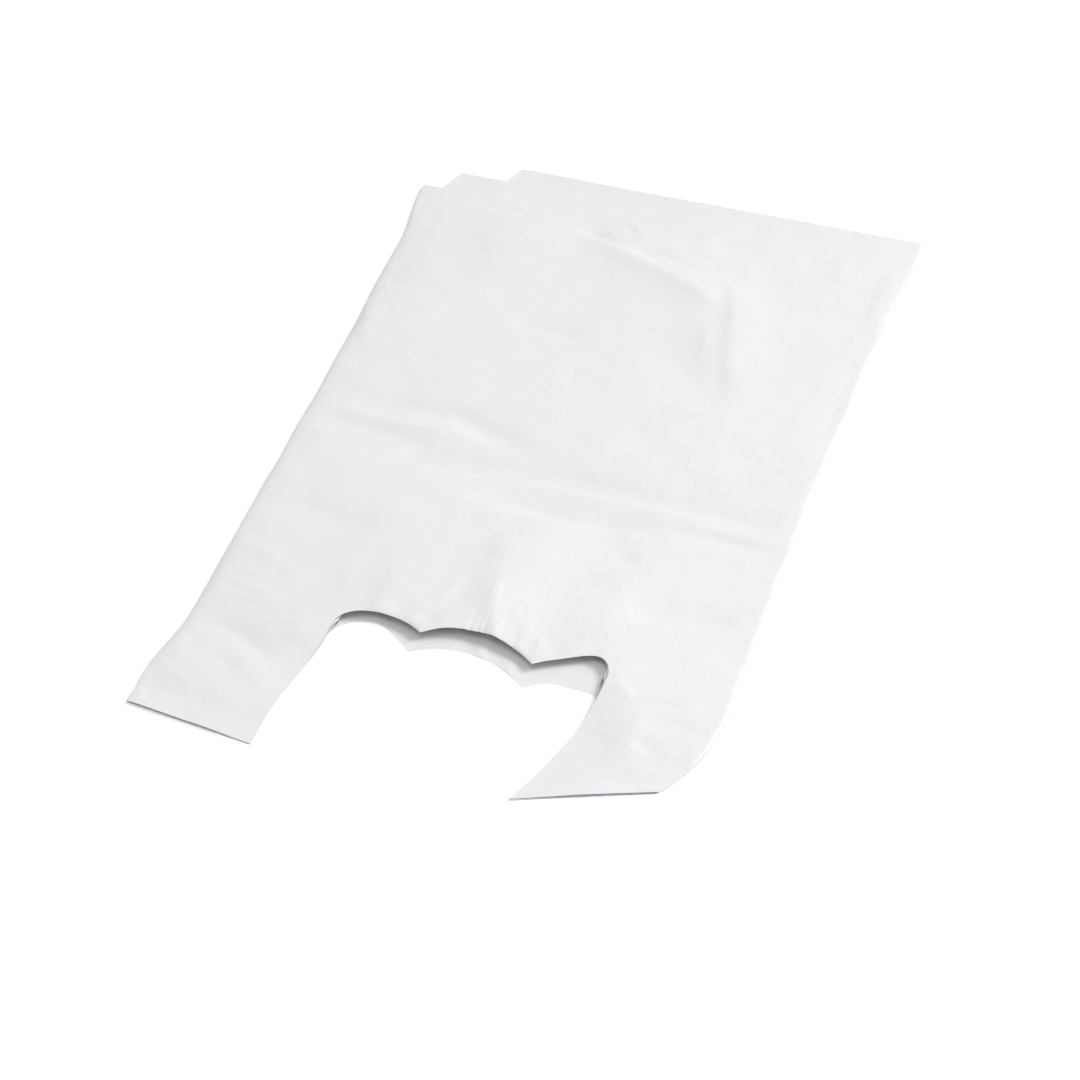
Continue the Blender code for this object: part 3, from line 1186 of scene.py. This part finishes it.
    def build(self) -> bpy.types.Object:
        """Builds, dresses and places the bag.

        Returns:
            The bag, riding on the model's one body.
        """
        bag = bpy.data.objects.new("carrier_bag_film", self.film_mesh())
        bpy.context.scene.collection.objects.link(bag)
        bag.data.materials.append(self.finish.material())
        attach(bag, "root")
        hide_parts("carrier_bag")
        area = self.film_area()
        LOG.info("bag: %d faces, film of %.4f square metres", len(bag.data.polygons), area)
        return bag


@dataclass(frozen=True)
class PaintedBoard:
    """Matt white painted board: flat and even, a little short of pure white.

    The light falls off over so wide a floor. A faint lift, which the eye sees but which lights
    nothing else, keeps the board as even as a studio's sweep.
    """

    white: str = "#F4F4F4"
    roughness: float = 0.9
    lift: float = 0.21

    def material(self) -> bpy.types.Material:
        """Builds the board's material.

        Returns:
            The material, lifted to white for the camera where nothing shades it.
        """
        made = bpy.data.materials.new("matt_painted_board")
        made.use_nodes = True
        tree = made.node_tree
        shader = tree.nodes["Principled BSDF"]
        shader.inputs["Base Color"].default_value = linear(self.white)
        shader.inputs["Roughness"].default_value = self.roughness
        shader.inputs["Specular IOR Level"].default_value = 0.0
        shader.inputs["Emission Color"].default_value = (1.0, 1.0, 1.0, 1.0)
        lift = add_node(
            tree,
            "ShaderNodeMath",
            {"operation": "MULTIPLY", 1: self.lift},
            {0: background_rays(tree)},
        )
        tree.links.new(lift.outputs["Value"], shader.inputs["Emission Strength"])
        return made


@dataclass(frozen=True)
class Softbox:
    """A square soft light that faces the bag."""

    name: str
    place: tuple[float, float, float]
    size: float
    watts: float

    def hang(self) -> None:
        """Adds the light to the scene."""
        light = bpy.data.lights.new(self.name, "AREA")
        light.size = self.size
        light.energy = self.watts
        lamp = bpy.data.objects.new(self.name, light)
        lamp.location = self.place
        lamp.rotation_euler = (-Vector(self.place)).to_track_quat("-Z", "Y").to_euler()
        bpy.context.scene.collection.objects.link(lamp)


@dataclass
class Studio:
    """Pale floor, a broad soft light at the far right, a weak one overhead and a white room."""

    floor_size: float = 8.0
    room: float = 0.42
    lamps: tuple[Softbox, ...] = (
        Softbox("key_softbox", (2.0, 1.2, 2.1), 1.2, 68.0),
        Softbox("top_softbox", (0.1, -0.48, 1.2), 0.8, 4.0),
    )
    board: PaintedBoard = field(default_factory=PaintedBoard)

    def floor(self) -> bpy.types.Object:
        """Lays the floor just under the bag.

        Returns:
            The floor.
        """
        half = self.floor_size / 2
        corners = [(-half, -half, 0), (half, -half, 0), (half, half, 0), (-half, half, 0)]
        mesh = bpy.data.meshes.new("studio_floor")
        mesh.from_pydata(corners, [], [(0, 1, 2, 3)])
        mesh.materials.append(self.board.material())
        floor = bpy.data.objects.new("studio_floor", mesh)
        floor.location.z = -0.1 * MM
        bpy.context.scene.collection.objects.link(floor)
        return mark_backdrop(floor)

    def sky(self) -> None:
        """Fills the room with even light, and shows it white to the camera and to gloss."""
        world = bpy.data.worlds.new("white_room")
        world.use_nodes = True
        bpy.context.scene.world = world
        tree = world.node_tree
        back = tree.nodes["Background"]
        back.inputs["Color"].default_value = (1.0, 1.0, 1.0, 1.0)
        light = add_node(
            tree,
            "ShaderNodeMapRange",
            {"To Min": self.room, "To Max": 1.0},
            {"Value": background_rays(tree)},
        )
        tree.links.new(light.outputs["Result"], back.inputs["Strength"])

    def build(self) -> None:
        """Builds the floor, the lights and the room."""
        self.floor()
        for lamp in self.lamps:
            lamp.hang()
        self.sky()
        LOG.info("studio: floor, %d lamps and the room", len(self.lamps))


@dataclass(frozen=True)
class Viewpoint:
    """The photograph's camera, found from the straight edges of the flat bag."""

    eye: tuple[float, float, float] = (0.5337, -1.7050, 1.5046)
    target: tuple[float, float, float] = (0.0147, -0.0568, 0.0)
    lens: float = 147.7
    sensor: float = 36.0

    def build(self) -> None:
        """Sets up the camera."""
        data = bpy.data.cameras.new("studio_camera")
        data.lens = self.lens
        data.sensor_width = self.sensor
        camera = bpy.data.objects.new("studio_camera", data)
        camera.location = self.eye
        aim = Vector(self.target) - Vector(self.eye)
        camera.rotation_euler = aim.to_track_quat("-Z", "Y").to_euler()
        bpy.context.scene.collection.objects.link(camera)
        bpy.context.scene.camera = camera
        LOG.info("camera: lens of %.1f mm", self.lens)


def main() -> None:
    """Builds the camera, the bag and the studio."""
    logging.basicConfig(level=logging.INFO, format="%(name)s: %(message)s")
    bpy.context.scene.view_settings.view_transform = "Standard"
    Viewpoint().build()
    CarrierBag().build()
    Studio().build()


if __name__ == "__main__":
    main()
